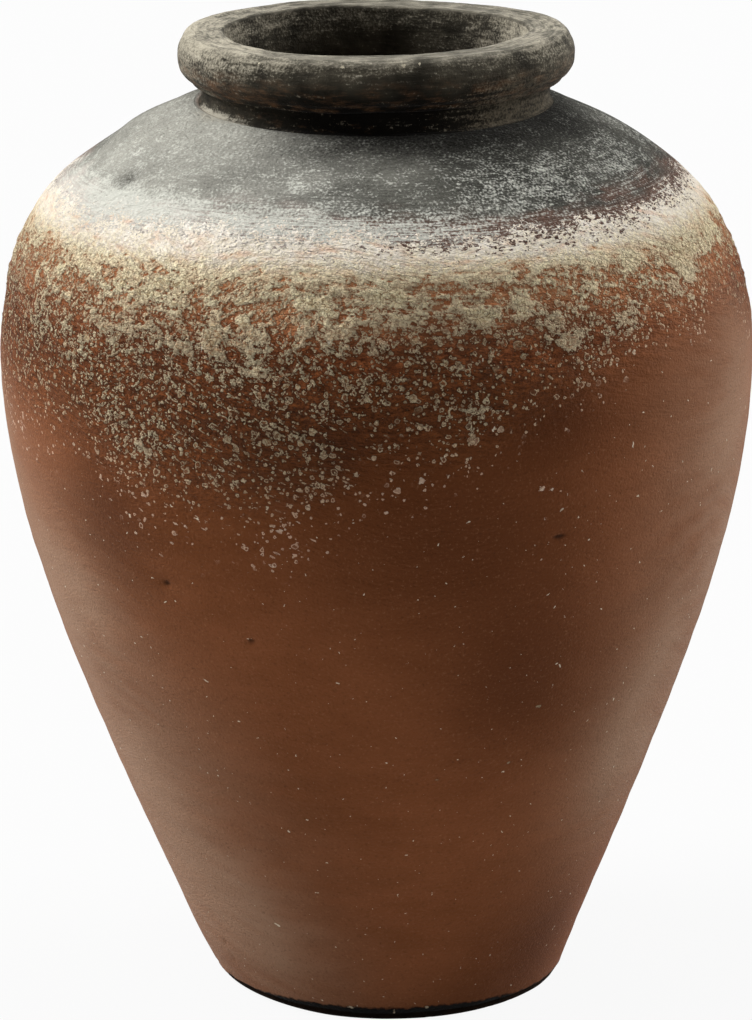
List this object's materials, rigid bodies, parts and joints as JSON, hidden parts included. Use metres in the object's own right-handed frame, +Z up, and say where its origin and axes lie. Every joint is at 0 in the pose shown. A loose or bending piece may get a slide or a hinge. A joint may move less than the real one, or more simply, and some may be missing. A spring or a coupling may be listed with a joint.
{
  "type": "terracotta jar",
  "caption": "Tall round-shouldered clay jar with a small flat foot, a short neck and a thick rolled rim, open at the top, to stand on a floor or table.",
  "frame": {"origin": "centre of the flat foot, on the surface that the jar stands on", "axes": "+Z up along the jar's axis of turning; -Y is the side seen in the picture"},
  "size_m": [0.385, 0.385, 0.5],
  "materials": {
    "blackened_base": "matt, burnt black",
    "raw_inside": "matt, unglazed, rough",
    "terracotta_body": "matt, unglazed, faint sheen where rubbed",
    "slipped_belly": "matt cream slip, flaked and chattered over terracotta",
    "smoked_shoulder": "matt, smoke-dark, dry-brushed with pale slip",
    "smoked_neck": "matt, smoke-dark",
    "smoked_rim": "matt, smoke-dark, worn pale on the crest"
  },
  "bodies": {
    "root": {"base_disc": "blackened_base", "floor_fillet_coil": "raw_inside", "lower_wall": "terracotta_body", "seam_coil_belly": "raw_inside", "belly_wall": "slipped_belly", "seam_coil_shoulder": "raw_inside", "shoulder": "smoked_shoulder", "neck_collar": "smoked_neck", "rim_roll": "smoked_rim"}
  },
  "joints": []
}
